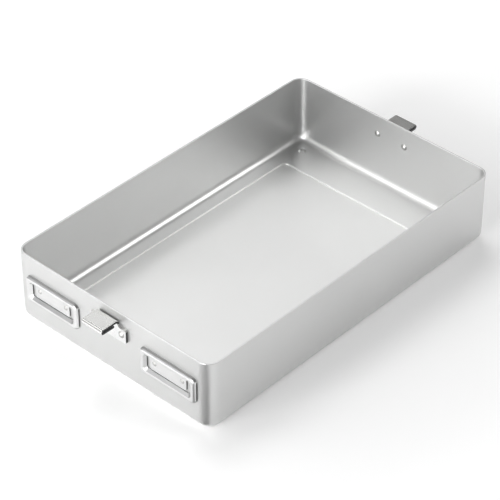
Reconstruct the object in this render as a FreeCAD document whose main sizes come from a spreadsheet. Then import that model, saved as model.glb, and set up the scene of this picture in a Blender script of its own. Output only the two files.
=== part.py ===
"""Open bottom tray of a small aluminium sterilization container.

The tray is drawn from one sheet and has a sunk middle panel that it stands on, with four pressed
feet at the corners of the ledge. A folded steel catch for the lid's latch is riveted to the middle
of each short end, and two pressed tag holders are riveted beside the catch of the near end.

Frame: millimetres, Z up, X along the tray, origin under its middle on the surface it stands on.
The near end is at -X. Fittings are modelled standing off an end wall along their own +X, with
their heights measured from the surface that the tray stands on.
"""
import FreeCAD, Part
import math
import os

import Sketcher
from FreeCAD import Placement, Rotation, Vector

SIZES = {
    # The tray
    "tray_length": 301.3,
    "tray_width": 190.0,
    "tray_height": 60.7,
    "tray_sheet": 1.5,
    "tray_corner_radius": 10.0,
    "tray_bottom_radius": 7.4,
    "rim_rounding": 0.4,
    # The sunk panel, measured from the outside of the walls, and the feet in its ledge
    "ledge_at_ends": 34.4,
    "ledge_at_sides": 15.8,
    "panel_drop": 1.2,
    "panel_corner_radius": 5.0,
    "step_run": 1.0,
    "step_rounding": 0.5,
    "foot_from_end": 14.0,
    "foot_from_side": 16.4,
    "foot_radius": 2.4,
    "foot_slope_angle": 48.0,
    # The catch
    "catch_sheet": 2.0,
    "catch_bend_radius": 1.4,
    "catch_edge_rounding": 0.35,
    "tab_width": 19.6,
    "tab_reach": 17.3,
    "tab_top_height": 55.0,
    "hem_gap": 0.8,
    "hem_end_gap": 1.6,
    "ear_width": 35.2,
    "ear_bottom_height": 38.0,
    "ear_depth": 11.3,
    "ear_corner_radius": 1.2,
    "neck_fillet_radius": 2.6,
    # The tag holder
    "holder_from_side": 38.0,
    "holder_sheet": 0.9,
    "holder_width": 52.6,
    "holder_bottom_height": 22.2,
    "holder_depth": 22.3,
    "holder_stand": 2.8,
    "holder_bend_radius": 2.3,
    "holder_corner_radius": 3.8,
    "holder_border": 3.6,
    "dent_corner_radius": 3.4,
    "dent_slope_angle": 49.0,
    "dent_rounding": 0.8,
    "tongue_width": 34.2,
    "tongue_gap": 0.9,
    "slot_corner_radius": 1.4,
    # Rivets
    "rivet_clearance": 0.05,
    "catch_rivet_radius": 1.6,
    "catch_rivet_head_radius": 2.75,
    "catch_rivet_head_height": 1.3,
    "catch_rivet_spacing": 26.4,
    "catch_rivet_drop": 4.9,
    "holder_rivet_radius": 1.1,
    "holder_rivet_head_radius": 1.9,
    "holder_rivet_head_height": 0.8,
    "holder_rivet_spacing": 26.4,
    "holder_rivet_drop": 9.1,
}

# Two places closer than this, in millimetres, are one
TOUCH = 1e-4


class Size:
    """A size of the model: its number, and the expression that ties it to the sheet."""

    def __init__(self, value, text):
        self.value = value
        self.text = text

    def __add__(self, other):
        return Size(self.value + number(other), f"({self.text} + {words(other)})")

    def __sub__(self, other):
        return Size(self.value - number(other), f"({self.text} - {words(other)})")

    def __mul__(self, other):
        return Size(self.value * number(other), f"({self.text} * {words(other)})")

    def __truediv__(self, other):
        return Size(self.value / number(other), f"({self.text} / {words(other)})")

    def __neg__(self):
        return Size(-self.value, f"(0 - {self.text})")


def number(size):
    """The plain number of a size or of a number."""
    return size.value if isinstance(size, Size) else float(size)


def words(size):
    """The expression text of a size or of a number."""
    return size.text if isinstance(size, Size) else repr(float(size))


def tangent(angle):
    """The tangent of an angle in degrees."""
    return Size(math.tan(math.radians(number(angle))), f"tan({words(angle)} * 1 deg)")


def cosine(angle):
    """The cosine of an angle in degrees."""
    return Size(math.cos(math.radians(number(angle))), f"cos({words(angle)} * 1 deg)")


def bind(thing, path, size):
    """Tie one property of a document object to a size."""
    thing.setExpression(path, words(size))


doc = FreeCAD.newDocument("sterilization_tray")
sheet = doc.addObject("Spreadsheet::Sheet", "Sizes")
for row, (alias, value) in enumerate(SIZES.items(), 1):
    sheet.set(f"A{row}", alias)
    sheet.set(f"B{row}", str(value))
    sheet.setAlias(f"B{row}", alias)
doc.recompute()
size = {alias: Size(value, f"Sizes.{alias}") for alias, value in SIZES.items()}

# Places that more than one piece uses
zero = Size(0.0, "0")
half_length = size["tray_length"] / 2
half_width = size["tray_width"] / 2
ledge_top = size["panel_drop"] + size["tray_sheet"]
catch_rivet_y = size["catch_rivet_spacing"] / 2
ear_top = size["ear_bottom_height"] + size["ear_depth"]
catch_rivet_z = ear_top - size["catch_rivet_drop"]
holder_top = size["holder_bottom_height"] + size["holder_depth"]
holder_rivet_y = size["holder_rivet_spacing"] / 2
holder_y = half_width - size["holder_from_side"]
holder_rivet_z = holder_top - size["holder_rivet_drop"]


def new_body(name):
    """An empty body whose label names its piece."""
    body = doc.addObject("PartDesign::Body", name)
    body.Label = name
    return body


def sketch_on(body, name, role, offset=None):
    """A sketch on one of the body's own origin planes, moved along the plane's normal."""
    plane = next(item for item in body.Origin.OriginFeatures if item.Role == role)
    sketch = body.newObject("Sketcher::SketchObject", name)
    sketch.AttachmentSupport = [(plane, "")]
    sketch.MapMode = "FlatFace"
    if offset is not None:
        bind(sketch, "AttachmentOffset.Base.z", offset)
    return sketch


def hold(sketch, geometry, point, x=None, y=None):
    """Hold one point of a sketch at its distances from the sketch's axes."""
    for kind, distance in (("DistanceX", x), ("DistanceY", y)):
        if distance is not None:
            index = sketch.addConstraint(
                Sketcher.Constraint(kind, -1, 1, geometry, point, number(distance)))
            bind(sketch, f"Constraints[{index}]", distance)


def outline(sketch, start, steps):
    """A closed outline of straight lines and arcs.

    A step is the next corner (x, y), or (x, y, centre x, centre y, turn) for an arc to that
    corner, whose turn is 1 anticlockwise and -1 clockwise. Every corner and centre is held.
    """
    here = start
    ends = []
    for step in steps:
        corner = step[:2]
        a = Vector(number(here[0]), number(here[1]), 0)
        b = Vector(number(corner[0]), number(corner[1]), 0)
        if len(step) == 2:
            piece = sketch.addGeometry(Part.LineSegment(a, b), False)
            first, last = 1, 2
        else:
            centre_x, centre_y, turn = step[2:]
            centre = Vector(number(centre_x), number(centre_y), 0)
            from_angle = math.atan2(a.y - centre.y, a.x - centre.x)
            to_angle = math.atan2(b.y - centre.y, b.x - centre.x)
            if turn < 0:
                from_angle, to_angle = to_angle, from_angle
            circle = Part.Circle(centre, Vector(0, 0, 1), a.distanceToPoint(centre))
            piece = sketch.addGeometry(Part.ArcOfCircle(circle, from_angle, to_angle), False)
            first, last = (1, 2) if turn > 0 else (2, 1)
            if abs(b.x - a.x) >= abs(b.y - a.y):
                hold(sketch, piece, 3, y=centre_y)
            else:
                hold(sketch, piece, 3, x=centre_x)
        ends.append((piece, first, last))
        hold(sketch, piece, last, *corner)
        here = corner
    for (piece, _, last), (following, first, _) in zip(ends, ends[1:] + ends[:1]):
        sketch.addConstraint(Sketcher.Constraint("Coincident", piece, last, following, first))
    return sketch


def rounded_rectangle(sketch, left, bottom, right, top, bottom_radius, top_radius):
    """A rectangle whose two lower and two upper corners are rounded."""
    low, high = bottom_radius, top_radius
    return outline(sketch, (left + low, bottom), [
        (right - low, bottom),
        (right, bottom + low, right - low, bottom + low, 1),
        (right, top - high),
        (right - high, top, right - high, top - high, 1),
        (left + high, top),
        (left, top - high, left + high, top - high, 1),
        (left, bottom + low),
        (left + low, bottom, left + low, bottom + low, 1),
    ])


def centred_rectangle(sketch, half_x, half_y, radius):
    """A rounded rectangle about the sketch's origin."""
    return rounded_rectangle(sketch, -half_x, -half_y, half_x, half_y, radius, radius)


def circles(sketch, radius, centres):
    """Circles of one radius."""
    for x, y in centres:
        circle = Part.Circle(Vector(number(x), number(y), 0), Vector(0, 0, 1), number(radius))
        piece = sketch.addGeometry(circle, False)
        hold(sketch, piece, 3, x, y)
        index = sketch.addConstraint(Sketcher.Constraint("Radius", piece, number(radius)))
        bind(sketch, f"Constraints[{index}]", radius)
    return sketch


def pad(body, name, sketch, length, both_ways=False, taper=None):
    """Add the sketch's outline as a solid of that length."""
    feature = body.newObject("PartDesign::Pad", name)
    feature.Profile = sketch
    feature.Midplane = both_ways
    bind(feature, "Length", length)
    if taper is not None:
        bind(feature, "TaperAngle", taper)
    doc.recompute()
    return feature


def pocket(body, name, sketch, length=None, forwards=False, taper=None):
    """Cut the sketch's outline, against its normal unless forwards, right through by default."""
    before = body.Shape.Volume
    feature = body.newObject("PartDesign::Pocket", name)
    feature.Profile = sketch
    feature.Reversed = forwards
    if length is None:
        feature.Type = "ThroughAll"
    else:
        bind(feature, "Length", length)
    if taper is not None:
        bind(feature, "TaperAngle", taper)
    doc.recompute()
    if body.Shape.Volume >= before:
        raise RuntimeError(f"{name} cuts nothing")
    return feature


def fillet(body, name, radius, wanted):
    """Round the edges of the body's last feature that the test picks."""
    base = body.Tip
    edges = [f"Edge{i}" for i, edge in enumerate(base.Shape.Edges, 1) if wanted(edge)]
    if not edges:
        raise RuntimeError(f"{name} finds no edge")
    feature = body.newObject("PartDesign::Fillet", name)
    feature.Base = (base, edges)
    bind(feature, "Radius", radius)
    doc.recompute()
    return feature


def lies_at_height(edge, height):
    """Whether the whole edge lies at one height."""
    box = edge.BoundBox
    return abs(box.ZMin - number(height)) < TOUCH and abs(box.ZMax - number(height)) < TOUCH


def lies_at_depth(edge, depth):
    """Whether the whole edge lies at one distance along the body's X."""
    box = edge.BoundBox
    return abs(box.XMin - number(depth)) < TOUCH and abs(box.XMax - number(depth)) < TOUCH


def inside(edge, half_x, half_y):
    """Whether the edge's middle lies within a centred rectangle, in plan."""
    middle = edge.CenterOfMass
    return abs(middle.x) < number(half_x) and abs(middle.y) < number(half_y)


def place(body, end, y, z):
    """Put a fitting on an end wall: end is 1 for the far one, -1 for the near one."""
    body.Placement = Placement(Vector(), Rotation(Vector(0, 0, 1), 0 if end > 0 else 180))
    bind(body, "Placement.Base.x", half_length * end)
    bind(body, "Placement.Base.y", y)
    bind(body, "Placement.Base.z", z)


def make_tray():
    """The drawn tray: walls, floor with its sunk panel, feet, rim and rivet holes."""
    body = new_body("tray")
    wall = size["tray_sheet"]
    corner = size["tray_corner_radius"]
    bottom = size["tray_bottom_radius"]
    height = size["tray_height"]

    blank = centred_rectangle(
        sketch_on(body, "TrayOutline", "XY_Plane", size["panel_drop"]), half_length, half_width, corner)
    pad(body, "TrayBlank", blank, height - size["panel_drop"])
    cavity = centred_rectangle(
        sketch_on(body, "CavityOutline", "XY_Plane", height),
        half_length - wall, half_width - wall, corner - wall)
    pocket(body, "Cavity", cavity, height - ledge_top)
    fillet(body, "TrayInnerBend", bottom - wall, lambda edge: lies_at_height(edge, ledge_top))
    fillet(body, "TrayOuterBend", bottom, lambda edge: lies_at_height(edge, size["panel_drop"]))

    # The panel is pressed down by less than the sheet's thickness, so the skin below and the
    # recess above overlap and the sheet keeps its thickness through the step.
    panel_x = half_length - size["ledge_at_ends"]
    panel_y = half_width - size["ledge_at_sides"]
    run = size["step_run"]
    skin = centred_rectangle(
        sketch_on(body, "PanelSkinOutline", "XY_Plane"),
        panel_x + run, panel_y + run, size["panel_corner_radius"] + run)
    pad(body, "PanelSkin", skin, wall)
    recess = centred_rectangle(
        sketch_on(body, "PanelRecessOutline", "XY_Plane", ledge_top),
        panel_x, panel_y, size["panel_corner_radius"])
    pocket(body, "PanelRecess", recess, size["panel_drop"])

    foot_x = half_length - size["foot_from_end"]
    foot_y = half_width - size["foot_from_side"]
    feet = [(x, y) for x in (-foot_x, foot_x) for y in (-foot_y, foot_y)]
    below = circles(sketch_on(body, "FeetBelow", "XY_Plane"), size["foot_radius"], feet)
    slope = size["foot_slope_angle"]
    pad(body, "Feet", below, wall, taper=slope)
    # The sheet keeps its thickness down the foot's slope
    mouth = size["foot_radius"] + ledge_top * tangent(slope) - wall / cosine(slope)
    above = circles(sketch_on(body, "FeetAbove", "XY_Plane", ledge_top), mouth, feet)
    pocket(body, "FeetHollows", above, size["panel_drop"], taper=-slope)

    step_x = panel_x + run * 2
    step_y = panel_y + run * 2
    for name, level in (("StepTop", ledge_top), ("StepFoot", wall), ("PanelEdge", zero),
                        ("LedgeEdge", size["panel_drop"])):
        fillet(body, name, size["step_rounding"],
               lambda edge: lies_at_height(edge, level) and inside(edge, step_x, step_y))
    fillet(body, "Rim", size["rim_rounding"], lambda edge: lies_at_height(edge, height))

    catch_holes = circles(
        sketch_on(body, "CatchHoles", "YZ_Plane", half_length),
        size["catch_rivet_radius"] + size["rivet_clearance"],
        [(-catch_rivet_y, catch_rivet_z), (catch_rivet_y, catch_rivet_z)])
    pocket(body, "CatchRivetHoles", catch_holes)
    holder_holes = circles(
        sketch_on(body, "HolderHoles", "YZ_Plane", wall - half_length),
        size["holder_rivet_radius"] + size["rivet_clearance"],
        [(holder_y * side + holder_rivet_y * way, holder_rivet_z)
         for side in (-1, 1) for way in (-1, 1)])
    pocket(body, "HolderRivetHoles", holder_holes)


def make_catch(name, end):
    """A catch: an eared plate on the wall that bends out into a tab hemmed back under itself."""
    body = new_body(name)
    metal = size["catch_sheet"]
    top = size["tab_top_height"]
    foot = size["ear_bottom_height"]
    inner = size["catch_bend_radius"]
    outer = inner + metal
    thickness = metal * 2 + size["hem_gap"]
    nose_x = size["tab_reach"] - thickness / 2
    nose_z = top - thickness / 2
    end_x = outer + size["hem_end_gap"]

    profile = outline(sketch_on(body, "TabProfile", "XZ_Plane"), (zero, foot), [
        (zero, top - outer),
        (outer, top, outer, top - outer, -1),
        (nose_x, top),
        (nose_x, top - thickness, nose_x, nose_z, -1),
        (end_x, top - thickness),
        (end_x, top - thickness + metal),
        (nose_x, top - thickness + metal),
        (nose_x, top - metal, nose_x, nose_z, 1),
        (outer, top - metal),
        (metal, top - outer, outer, top - outer, 1),
        (metal, foot),
        (zero, foot),
    ])
    pad(body, "Tab", profile, size["tab_width"], both_ways=True)
    half_tab = size["tab_width"] / 2

    def outside_of_bend(edge):
        """Whether the edge is on a side of the tab and on the outside of its bend and hem."""
        box = edge.BoundBox
        on_side = box.YLength < TOUCH and abs(abs(box.YMin) - number(half_tab)) < TOUCH
        on_back = box.XMin < TOUCH and box.ZLength > TOUCH
        on_top = box.ZMax > number(top) - TOUCH
        on_hem = abs(box.ZMax - number(top - thickness)) < TOUCH
        on_nose = box.XMax > number(size["tab_reach"]) - TOUCH
        return on_side and (on_back or on_top or on_hem or on_nose)
    fillet(body, "TabEdges", size["catch_edge_rounding"], outside_of_bend)

    half_ear = size["ear_width"] / 2
    round_ear = size["ear_corner_radius"]
    neck = size["neck_fillet_radius"]
    ears = outline(sketch_on(body, "EarOutline", "YZ_Plane"), (round_ear - half_ear, foot), [
        (half_ear - round_ear, foot),
        (half_ear, foot + round_ear, half_ear - round_ear, foot + round_ear, 1),
        (half_ear, ear_top - round_ear),
        (half_ear - round_ear, ear_top, half_ear - round_ear, ear_top - round_ear, 1),
        (half_tab + neck, ear_top),
        (half_tab, ear_top + neck, half_tab + neck, ear_top + neck, -1),
        (-half_tab, ear_top + neck),
        (-half_tab - neck, ear_top, -half_tab - neck, ear_top + neck, -1),
        (round_ear - half_ear, ear_top),
        (-half_ear, ear_top - round_ear, round_ear - half_ear, ear_top - round_ear, 1),
        (-half_ear, foot + round_ear),
        (round_ear - half_ear, foot, round_ear - half_ear, foot + round_ear, 1),
    ])
    pad(body, "Ears", ears, metal)

    holes = circles(
        sketch_on(body, "RivetHoles", "YZ_Plane", metal),
        size["catch_rivet_radius"] + size["rivet_clearance"],
        [(-catch_rivet_y, catch_rivet_z), (catch_rivet_y, catch_rivet_z)])
    pocket(body, "RivetHole", holes)

    place(body, end, zero, zero)


def make_tag_holder(name, side):
    """A tag holder: a hollow border that slopes in to the wall, round a tongue between slots."""
    body = new_body(name)
    metal = size["holder_sheet"]
    stand = size["holder_stand"]
    rise = stand - metal
    foot = size["holder_bottom_height"]
    half = size["holder_width"] / 2
    corner = size["holder_corner_radius"]
    bend = size["holder_bend_radius"]

    blank = rounded_rectangle(
        sketch_on(body, "FrameOutline", "YZ_Plane"), -half, foot, half, holder_top, corner, corner)
    pad(body, "FrameBlank", blank, stand)
    hollow = rounded_rectangle(
        sketch_on(body, "HollowOutline", "YZ_Plane"), metal - half, foot + metal,
        half - metal, holder_top - metal, corner - metal, corner - metal)
    pocket(body, "Hollow", hollow, rise, forwards=True)
    fillet(body, "HollowBend", bend - metal, lambda edge: lies_at_depth(edge, rise))
    fillet(body, "FrameBend", bend, lambda edge: lies_at_depth(edge, stand))

    # The middle is dented back to the wall, and the sheet keeps its thickness down the slopes
    slope = size["dent_slope_angle"]
    border = size["holder_border"]
    dent_corner = size["dent_corner_radius"]
    behind = stand * tangent(slope) - metal / cosine(slope)
    for_back = border + behind
    back = rounded_rectangle(
        sketch_on(body, "DentBackOutline", "YZ_Plane"), for_back - half, foot + for_back,
        half - for_back, holder_top - for_back, dent_corner - behind, dent_corner - behind)
    pad(body, "DentBack", back, rise, taper=slope)
    dent = rounded_rectangle(
        sketch_on(body, "DentOutline", "YZ_Plane", stand), border - half, foot + border,
        half - border, holder_top - border, dent_corner, dent_corner)
    pocket(body, "Dent", dent, rise, taper=-slope)
    for name_of, depth in (("DentEdge", stand), ("DentFoot", metal)):
        fillet(body, name_of, size["dent_rounding"], lambda edge: lies_at_depth(edge, depth))

    # A slot down both sides and along the foot of the dent leaves the tongue on the wall
    inset = border + rise * tangent(slope)
    out = half - inset
    low = foot + inset
    top = holder_top - inset
    tongue = size["tongue_width"] / 2
    tongue_foot = low + size["tongue_gap"]
    curve = size["slot_corner_radius"]
    slot = outline(sketch_on(body, "SlotOutline", "YZ_Plane", stand), (-out, top), [
        (-out, low + curve),
        (curve - out, low, curve - out, low + curve, 1),
        (out - curve, low),
        (out, low + curve, out - curve, low + curve, 1),
        (out, top),
        (tongue, top),
        (tongue, tongue_foot + curve),
        (tongue - curve, tongue_foot, tongue - curve, tongue_foot + curve, -1),
        (curve - tongue, tongue_foot),
        (-tongue, tongue_foot + curve, curve - tongue, tongue_foot + curve, -1),
        (-tongue, top),
        (-out, top),
    ])
    pocket(body, "Slot", slot)

    holes = circles(
        sketch_on(body, "RivetHoles", "YZ_Plane", metal),
        size["holder_rivet_radius"] + size["rivet_clearance"],
        [(-holder_rivet_y, holder_rivet_z), (holder_rivet_y, holder_rivet_z)])
    pocket(body, "RivetHole", holes, metal)
    place(body, -1, holder_y * side, zero)


def make_rivet(name, end, y, z, radius, head_radius, head_height, grip):
    """A solid rivet through a fitting and the wall, with a domed head at each end."""
    body = new_body(name)
    dome = (head_radius * head_radius + head_height * head_height) / (head_height * 2)
    back = -size["tray_sheet"]
    profile = outline(sketch_on(body, "RivetProfile", "XZ_Plane"), (back - head_height, zero), [
        (back, head_radius, back - head_height + dome, zero, -1),
        (back, radius),
        (grip, radius),
        (grip, head_radius),
        (grip + head_height, zero, grip + head_height - dome, zero, -1),
        (back - head_height, zero),
    ])
    feature = body.newObject("PartDesign::Revolution", "RivetTurned")
    feature.Profile = profile
    feature.ReferenceAxis = (profile, ["H_Axis"])
    feature.Angle = 360
    doc.recompute()
    place(body, end, y, z)


make_tray()
for where, end in (("near", -1), ("far", 1)):
    make_catch(f"{where}_catch", end)
    for hand, way in (("left", 1), ("right", -1)):
        make_rivet(f"{where}_catch_{hand}_rivet", end, catch_rivet_y * way, catch_rivet_z,
                   size["catch_rivet_radius"], size["catch_rivet_head_radius"],
                   size["catch_rivet_head_height"], size["catch_sheet"])
for where, side in (("left", 1), ("right", -1)):
    make_tag_holder(f"{where}_tag_holder", side)
    for hand, way in (("left", 1), ("right", -1)):
        make_rivet(f"{where}_tag_holder_{hand}_rivet", -1,
                   holder_y * side + holder_rivet_y * way, holder_rivet_z,
                   size["holder_rivet_radius"], size["holder_rivet_head_radius"],
                   size["holder_rivet_head_height"], size["holder_sheet"])

doc.recompute()
for item in doc.Objects:
    if "Invalid" in item.State or "Error" in item.State:
        raise RuntimeError(f"{item.Label} failed: {item.State}")
pieces = [item for item in doc.Objects if item.isDerivedFrom("PartDesign::Body")]
for piece in pieces:
    if piece.Shape.isNull() or not piece.Shape.isValid() or len(piece.Shape.Solids) != 1:
        raise RuntimeError(f"{piece.Label} isn't one valid solid")

os.makedirs("parts", exist_ok=True)
for piece in pieces:
    piece.Shape.exportStep(f"parts/{piece.Label}.step")
print(len(pieces), "pieces written")
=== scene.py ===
"""Studio picture of the open bottom tray of an aluminium sterilization container.

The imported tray, catches, tag holders and rivets keep their places and meshes, and get their
finishes here: satin anodised sheet and brushed steel. Metres, in the part's own frame.
"""
import math

import bpy
from bpy.props import FloatProperty, FloatVectorProperty, PointerProperty
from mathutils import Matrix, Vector


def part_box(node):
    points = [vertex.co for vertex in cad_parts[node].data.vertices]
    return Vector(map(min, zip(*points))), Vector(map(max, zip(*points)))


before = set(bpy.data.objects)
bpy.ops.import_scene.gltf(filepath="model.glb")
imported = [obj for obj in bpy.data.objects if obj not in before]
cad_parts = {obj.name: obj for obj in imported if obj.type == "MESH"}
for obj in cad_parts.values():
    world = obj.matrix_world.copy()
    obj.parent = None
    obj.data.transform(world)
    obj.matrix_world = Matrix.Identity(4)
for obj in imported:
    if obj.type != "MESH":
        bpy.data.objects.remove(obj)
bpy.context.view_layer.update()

bl_info = {
    "name": "Sterilization container tray",
    "version": (1, 0, 0),
    "blender": (4, 5, 0),
    "location": "3D View > Sidebar > Container tray",
    "description": "Finishes the container tray's metal and sets up its studio",
    "category": "Object",
}

CATCHES = ("near_catch", "far_catch")
TAG_HOLDERS = ("left_tag_holder", "right_tag_holder")
RIVETS = tuple(sorted(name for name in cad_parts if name.endswith("_rivet")))
CATCH_RIVETS = tuple(name for name in RIVETS if "catch" in name)
HOLDER_RIVETS = tuple(name for name in RIVETS if name not in CATCH_RIVETS)

# The sheet: clouds of shade, and how the pits change the roughness
CLOUD_SIZE = 0.09
CLOUD_SHADE = 0.97
PIT_ROUGHNESS = 0.03
# The floor's bends carry a painted highlight: it fades out as a surface faces this nearly along
# Z, and between these heights, and the sunk panel's and the feet's bends have only this share of
# it
BEND_FACING = (0.80, 0.985)
WALL_BEND_HEIGHTS = (0.0035, 0.0060)
PANEL_BEND_HEIGHTS = (0.0026, 0.0034)
PANEL_BEND_SHARE = 0.70
# The rim's polished edge: the depths below the top between which it fades in
RIM_DEPTHS = (0.0004, 0.0001)

# The steel: brushed lines and worn patches, and how they change its colour and roughness
LINE_WIDTH = 0.00035
LINE_STRETCH = 24.0
LINE_SHADE = 0.94
LINE_DEPTH = 0.0000005
PATCH_SIZE = 0.008
PATCH_ROUGHNESS = 0.04
# How nearly along Y a face turns for the painted side shade, sheared edges among them, and along
# Z a slope, a bend or a tab for the painted shade of what faces up or down
SIDE_SHADE_FACING = (0.96, 0.998)
UPDOWN_SHADE_FACING = (0.30, 0.48)

# The floor of paper: half its side, its depth under the tray, and the distances from the middle
# between which it is seen whiter
PAPER_REACH = 6.0
PAPER_DROP = 0.0001
NEAR_FADE = (0.14, 0.34)
FAR_FADE = (0.5, 2.0)
# The upward parts of a direction between which the room's white wall fades out
WALL_TOP = (0.10, 0.25)

# Softboxes: heading from +X and angle above the floor, in degrees, and width
LAMP_DISTANCE = 2.0
LAMP_AIM_HEIGHT = 0.02
SOFTBOXES = {
    "end": (180, 14, 1.25),
    "left": (90, 14, 1.25),
    "side": (315, 40, 1.05),
    "back": (45, 40, 1.05),
    "left_high": (135, 40, 1.05),
    "top": (60, 65, 0.85),
}

# The card: headings in degrees and ways from the axis of the tray's rounded near corner
CORNER_RADIUS = 0.010
CARD_CORNERS = ((187, 0.012), (222, 0.012), (222, 0.25), (152, 0.25))
CARD_HEIGHT = 0.0005
CARD_COLOUR = (0.05, 0.05, 0.05)


class TrayFinish(bpy.types.PropertyGroup):
    """The anodised sheet of the tray."""

    colour: FloatVectorProperty(
        name="Sheet colour", description="Colour of the anodised aluminium sheet",
        subtype="COLOR", size=3, min=0.0, max=1.0, default=(0.675, 0.677, 0.673))
    # A painted highlight on the floor's bends, laid on as a brighter colour
    bend_highlight_colour: FloatVectorProperty(
        name="Burnished colour",
        description="Colour of the floor's bends, rubbed bright by the press",
        subtype="COLOR", size=3, min=0.0, max=1.0, default=(0.94, 0.94, 0.93))
    rim_colour: FloatVectorProperty(
        name="Rim colour", description="Colour of the cut and polished edge of the rim",
        subtype="COLOR", size=3, min=0.0, max=1.0, default=(0.60, 0.60, 0.60))
    roughness: FloatProperty(
        name="Roughness", description="How widely the satin sheet spreads light",
        subtype="FACTOR", min=0.0, max=1.0, default=0.44)
    grain_size: FloatProperty(
        name="Grain size", description="Width of one pit of the etched surface",
        unit="LENGTH", min=0.0001, max=0.01, default=0.0006)
    grain_depth: FloatProperty(
        name="Grain depth", description="Depth of the etched surface's pits",
        unit="LENGTH", min=0.0, max=0.001, default=0.00001)


class FittingFinish(bpy.types.PropertyGroup):
    """The steel of the catches, tag holders and rivets."""

    catch_colour: FloatVectorProperty(
        name="Catch colour", description="Colour of the catches' steel",
        subtype="COLOR", size=3, min=0.0, max=1.0, default=(0.90, 0.90, 0.90))
    # Painted shade on the top of the near catch's tab, laid on as a darker colour
    near_tab_shade_colour: FloatVectorProperty(
        name="Near tab colour", description="Colour of the brushed top of the near catch's tab",
        subtype="COLOR", size=3, min=0.0, max=1.0, default=(0.50, 0.50, 0.49))
    # Painted shade on the top of the far catch's tab, darker than on the near one
    far_tab_shade_colour: FloatVectorProperty(
        name="Far tab colour", description="Colour of the duller top of the far catch's tab",
        subtype="COLOR", size=3, min=0.0, max=1.0, default=(0.21, 0.21, 0.205))
    catch_roughness: FloatProperty(
        name="Catch roughness", description="How widely the catches spread light",
        subtype="FACTOR", min=0.0, max=1.0, default=0.22)
    holder_colour: FloatVectorProperty(
        name="Tag holder colour", description="Colour of the tag holders' satin steel",
        subtype="COLOR", size=3, min=0.0, max=1.0, default=(0.77, 0.77, 0.77))
    holder_roughness: FloatProperty(
        name="Tag holder roughness", description="How widely the tag holders spread light",
        subtype="FACTOR", min=0.0, max=1.0, default=0.42)
    rivet_colour: FloatVectorProperty(
        name="Rivet colour", description="Colour of the rivets",
        subtype="COLOR", size=3, min=0.0, max=1.0, default=(0.50, 0.50, 0.49))
    catch_rivet_roughness: FloatProperty(
        name="Catch rivet roughness", description="How widely the catches' rivets spread light",
        subtype="FACTOR", min=0.0, max=1.0, default=0.46)
    holder_rivet_roughness: FloatProperty(
        name="Holder rivet roughness", description="How widely the holders' rivets spread light",
        subtype="FACTOR", min=0.0, max=1.0, default=0.70)
    # Painted shade on the tag holders' slopes and bends, laid on as a darker colour
    updown_shade_colour: FloatVectorProperty(
        name="Tag holder bend colour", description="Colour of the tag holders' slopes and bends",
        subtype="COLOR", size=3, min=0.0, max=1.0, default=(0.33, 0.33, 0.33))
    # Painted shade on every face of the fittings that turns along Y; on the sheared edges it also
    # stands for their duller metal
    side_shade_colour: FloatVectorProperty(
        name="Cut edge colour", description="Colour of the torn metal on the sheared edges",
        subtype="COLOR", size=3, min=0.0, max=1.0, default=(0.10, 0.10, 0.10))


class Studio(bpy.types.PropertyGroup):
    """Camera, floor and lamps."""

    camera_place: FloatVectorProperty(
        name="Camera", description="Where the camera stands",
        subtype="XYZ", unit="LENGTH", size=3, default=(-0.96735, -0.89042, 1.05191))
    camera_tilt: FloatProperty(
        name="Tilt", description="How far the camera looks down",
        subtype="ANGLE", default=math.radians(38.03))
    camera_heading: FloatProperty(
        name="Heading", description="Where the camera looks, turned from +X towards +Y",
        subtype="ANGLE", default=math.radians(42.89))
    lens: FloatProperty(
        name="Lens", description="Focal length, in millimetres on a 36 mm frame",
        min=10.0, max=500.0, default=164.1)
    floor_colour: FloatVectorProperty(
        name="Floor colour", description="Colour of the paper that the tray stands on",
        subtype="COLOR", size=3, min=0.0, max=1.0, default=(0.86, 0.86, 0.86))
    near_glow: FloatProperty(
        name="White by the tray", description="White that is seen on top of the lit floor there",
        min=0.0, max=1.0, default=0.13)
    far_glow: FloatProperty(
        name="White away from the tray",
        description="White that is seen on top of the lit floor a third of a metre away",
        min=0.0, max=1.0, default=0.28)
    room_light: FloatProperty(
        name="Room light", description="Strength of the even light of the room",
        min=0.0, max=1.0, default=0.07)
    end_power: FloatProperty(
        name="End softbox", description="Power of the softbox low beyond the near end",
        unit="POWER", min=0.0, default=52.0)
    left_power: FloatProperty(
        name="Left softbox", description="Power of the softbox low beyond the left side",
        unit="POWER", min=0.0, default=9.6)
    side_power: FloatProperty(
        name="Side softbox", description="Power of the softbox beyond the far right corner",
        unit="POWER", min=0.0, default=12.0)
    back_power: FloatProperty(
        name="Back softbox", description="Power of the softbox beyond the far left corner",
        unit="POWER", min=0.0, default=4.3)
    left_high_power: FloatProperty(
        name="Left high softbox", description="Power of the softbox beyond the near left corner",
        unit="POWER", min=0.0, default=8.0)
    top_power: FloatProperty(
        name="Top softbox", description="Power of the softbox high over the far left corner",
        unit="POWER", min=0.0, default=9.6)


def new_material(name):
    """A new material that holds only a metal shader; its node tree; and the shader."""
    material = bpy.data.materials.new(name)
    material.use_nodes = True
    tree = material.node_tree
    tree.nodes.clear()
    output = tree.nodes.new("ShaderNodeOutputMaterial")
    shader = tree.nodes.new("ShaderNodeBsdfPrincipled")
    shader.inputs["Metallic"].default_value = 1.0
    tree.links.new(shader.outputs["BSDF"], output.inputs["Surface"])
    return material, tree, shader


def object_noise(tree, width, detail=2.0, stretch=(1.0, 1.0, 1.0)):
    """Noise fixed to the object, whose spots are about width metres wide, times the stretch."""
    place = tree.nodes.new("ShaderNodeTexCoord")
    mapping = tree.nodes.new("ShaderNodeMapping")
    mapping.inputs["Scale"].default_value = [1.0 / (width * share) for share in stretch]
    noise = tree.nodes.new("ShaderNodeTexNoise")
    noise.inputs["Scale"].default_value = 1.0
    noise.inputs["Detail"].default_value = detail
    tree.links.new(place.outputs["Object"], mapping.inputs["Vector"])
    tree.links.new(mapping.outputs["Vector"], noise.inputs["Vector"])
    return noise.outputs["Fac"]


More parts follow.
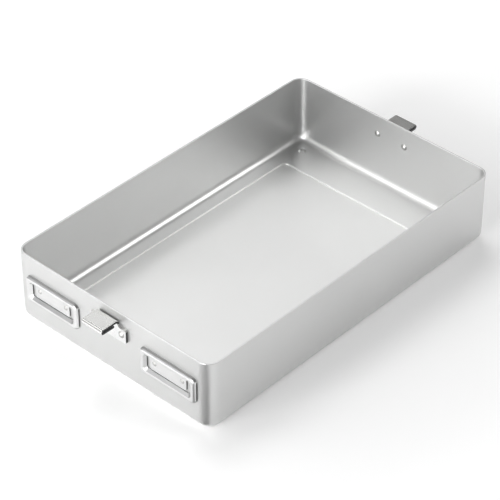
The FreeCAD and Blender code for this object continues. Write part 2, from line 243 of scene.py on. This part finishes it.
def spread(tree, factor, low, high, start=0.3, stop=0.7):
    """A value that runs from low to high as the factor runs from start to stop."""
    ramp = tree.nodes.new("ShaderNodeMapRange")
    ramp.interpolation_type = "SMOOTHSTEP"
    ramp.inputs["From Min"].default_value = start
    ramp.inputs["From Max"].default_value = stop
    ramp.inputs["To Min"].default_value = low
    ramp.inputs["To Max"].default_value = high
    tree.links.new(factor, ramp.inputs["Value"])
    return ramp.outputs["Result"]


def combine(tree, operation, first, second):
    """Two values multiplied, added or compared; the second may be a plain number."""
    result = tree.nodes.new("ShaderNodeMath")
    result.operation = operation
    tree.links.new(first, result.inputs[0])
    if isinstance(second, bpy.types.NodeSocket):
        tree.links.new(second, result.inputs[1])
    else:
        result.inputs[1].default_value = second
    return result.outputs["Value"]


def mix_colours(tree, factor, first, second):
    """A colour between two others; each may be a plain colour or a socket."""
    mix = tree.nodes.new("ShaderNodeMix")
    mix.data_type = "RGBA"
    for name, value in (("A", first), ("B", second)):
        socket = next(s for s in mix.inputs if s.name == name and s.type == "RGBA")
        if isinstance(value, bpy.types.NodeSocket):
            tree.links.new(value, socket)
        else:
            socket.default_value = (*value, 1.0)
    share = next(s for s in mix.inputs if s.name == "Factor" and s.type == "VALUE")
    tree.links.new(factor, share)
    return next(s for s in mix.outputs if s.type == "RGBA")


def shade(colour, share):
    """The colour times a share."""
    return tuple(channel * share for channel in colour)


def add_bump(tree, shader, height, depth):
    """Raise the surface by the height times the depth, in metres."""
    bump = tree.nodes.new("ShaderNodeBump")
    bump.inputs["Strength"].default_value = 1.0
    bump.inputs["Distance"].default_value = depth
    tree.links.new(height, bump.inputs["Height"])
    tree.links.new(bump.outputs["Normal"], shader.inputs["Normal"])


def part_of(tree, output, axis):
    """One axis of the object's coordinates or normals, or of a direction in the room."""
    place = tree.nodes.new("ShaderNodeTexCoord")
    split = tree.nodes.new("ShaderNodeSeparateXYZ")
    tree.links.new(place.outputs[output], split.inputs["Vector"])
    return split.outputs[axis]


def facing(tree, axis):
    """How nearly a surface faces along one axis, either way: 1 straight along it, 0 across it."""
    share = tree.nodes.new("ShaderNodeMath")
    share.operation = "ABSOLUTE"
    tree.links.new(part_of(tree, "Normal", axis), share.inputs[0])
    return share.outputs["Value"]


def dress(names, material):
    """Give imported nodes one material."""
    for name in names:
        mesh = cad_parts[name].data
        mesh.materials.clear()
        mesh.materials.append(material)


def anodised_sheet(finish):
    """Satin anodised aluminium: fine etched pits, slow clouds of shade, painted highlight on
    floor bends.

    The painted highlight lies on what is low in the tray and doesn't lie level. On the bends of
    the sunk panel and the feet, which are lowest, it is less bright than on the one below the
    walls.
    """
    material, tree, shader = new_material("anodised_sheet")
    clouds = object_noise(tree, CLOUD_SIZE, detail=3.0)
    grain = object_noise(tree, finish.grain_size, detail=3.0)
    colour = mix_colours(
        tree, spread(tree, clouds, 0.0, 1.0), shade(finish.colour, CLOUD_SHADE), finish.colour)

    height = part_of(tree, "Object", "Z")
    # Where the floor bends, low in the tray, a painted highlight is laid on as a brighter colour
    bend = spread(tree, facing(tree, "Z"), 1.0, 0.0, *BEND_FACING)
    low = spread(tree, height, 1.0, 0.0, *WALL_BEND_HEIGHTS)
    above_panel = spread(tree, height, PANEL_BEND_SHARE, 1.0, *PANEL_BEND_HEIGHTS)
    bend_highlight = combine(tree, "MULTIPLY", combine(tree, "MULTIPLY", bend, low), above_panel)
    colour = mix_colours(tree, bend_highlight, colour, finish.bend_highlight_colour)

    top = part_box("tray")[1].z
    rim = spread(tree, height, 0.0, 1.0, *(top - depth for depth in RIM_DEPTHS))
    colour = mix_colours(tree, rim, colour, finish.rim_colour)
    tree.links.new(colour, shader.inputs["Base Color"])

    roughness = spread(
        tree, grain, finish.roughness - PIT_ROUGHNESS, finish.roughness + PIT_ROUGHNESS)
    tree.links.new(roughness, shader.inputs["Roughness"])
    add_bump(tree, shader, grain, finish.grain_depth)
    return material


def brushed_steel(name, colour, roughness, along, side_shade_colour=None, updown_shade_colour=None):
    """Steel with fine lines along one axis, worn smoother in slow patches.

    With a side shade colour, every face that turns along Y, the sheared edges among them, gets
    that painted shade. With an up-down shade colour, what faces up or down, such as a slope, a
    bend or a tab, gets that painted shade.
    """
    material, tree, shader = new_material(name)
    stretch = [LINE_STRETCH if axis == along else 1.0 for axis in "XYZ"]
    lines = object_noise(tree, LINE_WIDTH, stretch=stretch)
    patches = object_noise(tree, PATCH_SIZE, detail=3.0)
    surface = mix_colours(tree, spread(tree, lines, 0.0, 1.0), shade(colour, LINE_SHADE), colour)
    if side_shade_colour is not None:
        # Painted shade: faces turned along Y, sheared edges among them, get a dark colour
        cut = spread(tree, facing(tree, "Y"), 0.0, 1.0, *SIDE_SHADE_FACING)
        surface = mix_colours(tree, cut, surface, side_shade_colour)
    if updown_shade_colour is not None:
        # Painted shade: what faces up or down, such as a slope, a bend or a tab, gets a darker
        # colour
        slope = spread(tree, facing(tree, "Z"), 0.0, 1.0, *UPDOWN_SHADE_FACING)
        surface = mix_colours(tree, slope, surface, updown_shade_colour)
    tree.links.new(surface, shader.inputs["Base Color"])
    worn = spread(tree, patches, roughness - PATCH_ROUGHNESS, roughness + PATCH_ROUGHNESS)
    tree.links.new(worn, shader.inputs["Roughness"])
    add_bump(tree, shader, lines, LINE_DEPTH)
    return material


class DressTray(bpy.types.Operator):
    """Give the tray its anodised sheet"""

    bl_idname = "container_tray.dress_tray"
    bl_label = "Dress the tray"

    def execute(self, context):
        dress(("tray",), anodised_sheet(context.scene.tray_finish))
        return {"FINISHED"}


class DressCatches(bpy.types.Operator):
    """Give the catches their steel, each with its own painted shade on the tab's top"""

    bl_idname = "container_tray.dress_catches"
    bl_label = "Dress the catches"

    def execute(self, context):
        finish = context.scene.fitting_finish
        # Each catch's tab top gets its own painted shade, darker on the far catch
        for name, tab_shade_colour in zip(CATCHES, (finish.near_tab_shade_colour, finish.far_tab_shade_colour)):
            dress((name,), brushed_steel(
                f"{name}_steel", finish.catch_colour, finish.catch_roughness, "X",
                finish.side_shade_colour, tab_shade_colour))
        return {"FINISHED"}


class DressTagHolders(bpy.types.Operator):
    """Give the tag holders their satin steel"""

    bl_idname = "container_tray.dress_tag_holders"
    bl_label = "Dress the tag holders"

    def execute(self, context):
        finish = context.scene.fitting_finish
        dress(TAG_HOLDERS, brushed_steel(
            "holder_steel", finish.holder_colour, finish.holder_roughness, "Y",
            finish.side_shade_colour, finish.updown_shade_colour))
        return {"FINISHED"}


class DressRivets(bpy.types.Operator):
    """Give the rivets their steel"""

    bl_idname = "container_tray.dress_rivets"
    bl_label = "Dress the rivets"

    def execute(self, context):
        finish = context.scene.fitting_finish
        dress(CATCH_RIVETS, brushed_steel(
            "catch_rivet_steel", finish.rivet_colour, finish.catch_rivet_roughness, "Z"))
        dress(HOLDER_RIVETS, brushed_steel(
            "holder_rivet_steel", finish.rivet_colour, finish.holder_rivet_roughness, "Z"))
        return {"FINISHED"}


def seen_directly(tree):
    """1 for what the camera sees, or sees in metal or through glass, and 0 for plain light."""
    rays = tree.nodes.new("ShaderNodeLightPath")
    seen = rays.outputs["Is Camera Ray"]
    for kind in ("Is Glossy Ray", "Is Transmission Ray"):
        seen = combine(tree, "MAXIMUM", seen, rays.outputs[kind])
    return seen


def white_paper(studio):
    """Matt paper that is seen a little whiter than it is lit, more so away from the tray."""
    material = bpy.data.materials.new("white_paper")
    material.use_nodes = True
    tree = material.node_tree
    tree.nodes.clear()
    output = tree.nodes.new("ShaderNodeOutputMaterial")
    paper = tree.nodes.new("ShaderNodeBsdfDiffuse")
    paper.inputs["Color"].default_value = (*studio.floor_colour, 1.0)
    place = tree.nodes.new("ShaderNodeTexCoord")
    distance = tree.nodes.new("ShaderNodeVectorMath")
    distance.operation = "LENGTH"
    tree.links.new(place.outputs["Object"], distance.inputs[0])
    near = spread(
        tree, distance.outputs["Value"], studio.near_glow, studio.far_glow, *NEAR_FADE)
    far = spread(tree, distance.outputs["Value"], 0.0, 1.0 - studio.far_glow, *FAR_FADE)
    white = combine(tree, "ADD", near, far)
    glow = tree.nodes.new("ShaderNodeEmission")
    tree.links.new(
        combine(tree, "MULTIPLY", white, seen_directly(tree)), glow.inputs["Strength"])
    both = tree.nodes.new("ShaderNodeAddShader")
    tree.links.new(paper.outputs["BSDF"], both.inputs[0])
    tree.links.new(glow.outputs["Emission"], both.inputs[1])
    tree.links.new(both.outputs["Shader"], output.inputs["Surface"])
    return material


def add_paper(studio):
    """The floor of paper, just under the tray."""
    sides = (-PAPER_REACH, PAPER_REACH)
    corners = [(x, y, -PAPER_DROP) for x in sides for y in sides]
    mesh = bpy.data.meshes.new("paper")
    mesh.from_pydata(corners, [], [(0, 2, 3, 1)])
    mesh.materials.append(white_paper(studio))
    paper = bpy.data.objects.new("paper", mesh)
    bpy.context.scene.collection.objects.link(paper)


def add_room(studio):
    """A dim room whose walls are seen white round the horizon, as the paper is."""
    world = bpy.data.worlds.new("room")
    world.use_nodes = True
    bpy.context.scene.world = world
    tree = world.node_tree
    wall = spread(
        tree, part_of(tree, "Generated", "Z"), 1.0 - studio.room_light, 0.0, *WALL_TOP)
    seen_wall = combine(tree, "MULTIPLY", wall, seen_directly(tree))
    room = tree.nodes["Background"]
    room.inputs["Color"].default_value = (1.0, 1.0, 1.0, 1.0)
    tree.links.new(
        combine(tree, "ADD", seen_wall, studio.room_light), room.inputs["Strength"])


def add_softbox(name, heading, height_angle, width, power):
    """A square soft lamp that faces the tray, on a heading from +X and an angle above it."""
    lamp = bpy.data.lights.new(name, "AREA")
    lamp.shape = "SQUARE"
    lamp.size = width
    lamp.energy = power
    heading, height_angle = math.radians(heading), math.radians(height_angle)
    away = Vector((
        math.cos(height_angle) * math.cos(heading), math.cos(height_angle) * math.sin(heading),
        math.sin(height_angle)))
    holder = bpy.data.objects.new(name, lamp)
    holder.location = away * LAMP_DISTANCE + Vector((0.0, 0.0, LAMP_AIM_HEIGHT))
    holder.rotation_euler = away.to_track_quat("Z", "Y").to_euler()
    holder.visible_camera = False
    bpy.context.scene.collection.objects.link(holder)


def add_reflection_shade_card():
    """A dark card lying before the near corner, seen only in the metal as a painted dark
    reflection.

    It is a quadrilateral whose corners are given by heading and way from the axis of the tray's
    rounded near corner, two close to the tray and two far from it.
    """
    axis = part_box("tray")[0] + Vector((CORNER_RADIUS, CORNER_RADIUS, CARD_HEIGHT))
    corners = []
    for heading, way in CARD_CORNERS:
        angle = math.radians(heading)
        corners.append(axis + Vector((math.cos(angle), math.sin(angle), 0.0)) * way)
    mesh = bpy.data.meshes.new("grey_card")
    mesh.from_pydata(corners, [], [(0, 1, 2, 3)])
    material = bpy.data.materials.new("grey_card")
    material.use_nodes = True
    shader = material.node_tree.nodes["Principled BSDF"]
    shader.inputs["Base Color"].default_value = (*CARD_COLOUR, 1.0)
    mesh.materials.append(material)
    card = bpy.data.objects.new("grey_card", mesh)
    # Only glossy rays see the card: it paints a dark reflection on the near corner and casts no
    # shadow
    for ray in ("camera", "diffuse", "transmission", "volume_scatter", "shadow"):
        setattr(card, f"visible_{ray}", False)
    bpy.context.scene.collection.objects.link(card)


def add_camera(studio):
    """The camera, level from side to side, looking down at the tray."""
    lens = bpy.data.cameras.new("camera")
    lens.sensor_width = 36.0
    lens.lens = studio.lens
    camera = bpy.data.objects.new("camera", lens)
    camera.location = studio.camera_place
    camera.rotation_euler = (
        math.pi / 2 - studio.camera_tilt, 0.0, studio.camera_heading - math.pi / 2)
    bpy.context.scene.collection.objects.link(camera)
    bpy.context.scene.camera = camera


class BuildStudio(bpy.types.Operator):
    """Make the paper floor, the softboxes, the painted-reflection card, the room and the camera
    """

    bl_idname = "container_tray.build_studio"
    bl_label = "Build the studio"

    def execute(self, context):
        studio = context.scene.studio
        add_paper(studio)
        for name, (heading, height_angle, width) in SOFTBOXES.items():
            power = getattr(studio, f"{name}_power")
            add_softbox(f"{name}_softbox", heading, height_angle, width, power)
        add_reflection_shade_card()
        add_room(studio)
        add_camera(studio)
        context.scene.view_settings.view_transform = "Standard"
        return {"FINISHED"}


OPERATORS = (DressTray, DressCatches, DressTagHolders, DressRivets, BuildStudio)


class ContainerTrayPanel(bpy.types.Panel):
    """Lists the steps that dress the tray and build its studio"""

    bl_idname = "VIEW3D_PT_container_tray"
    bl_label = "Container tray"
    bl_space_type = "VIEW_3D"
    bl_region_type = "UI"
    bl_category = "Container tray"

    def draw(self, context):
        scene = context.scene
        for settings in (scene.tray_finish, scene.fitting_finish, scene.studio):
            box = self.layout.box()
            for name in settings.__annotations__:
                box.prop(settings, name)
        for step in OPERATORS:
            self.layout.operator(step.bl_idname)


CLASSES = (TrayFinish, FittingFinish, Studio, *OPERATORS, ContainerTrayPanel)


def register():
    for item in CLASSES:
        bpy.utils.register_class(item)
    bpy.types.Scene.tray_finish = PointerProperty(type=TrayFinish)
    bpy.types.Scene.fitting_finish = PointerProperty(type=FittingFinish)
    bpy.types.Scene.studio = PointerProperty(type=Studio)


def unregister():
    del bpy.types.Scene.studio
    del bpy.types.Scene.fitting_finish
    del bpy.types.Scene.tray_finish
    for item in reversed(CLASSES):
        bpy.utils.unregister_class(item)


def main():
    """Run every step in order."""
    register()
    bpy.ops.container_tray.dress_tray()
    bpy.ops.container_tray.dress_catches()
    bpy.ops.container_tray.dress_tag_holders()
    bpy.ops.container_tray.dress_rivets()
    bpy.ops.container_tray.build_studio()


if __name__ == "__main__":
    main()
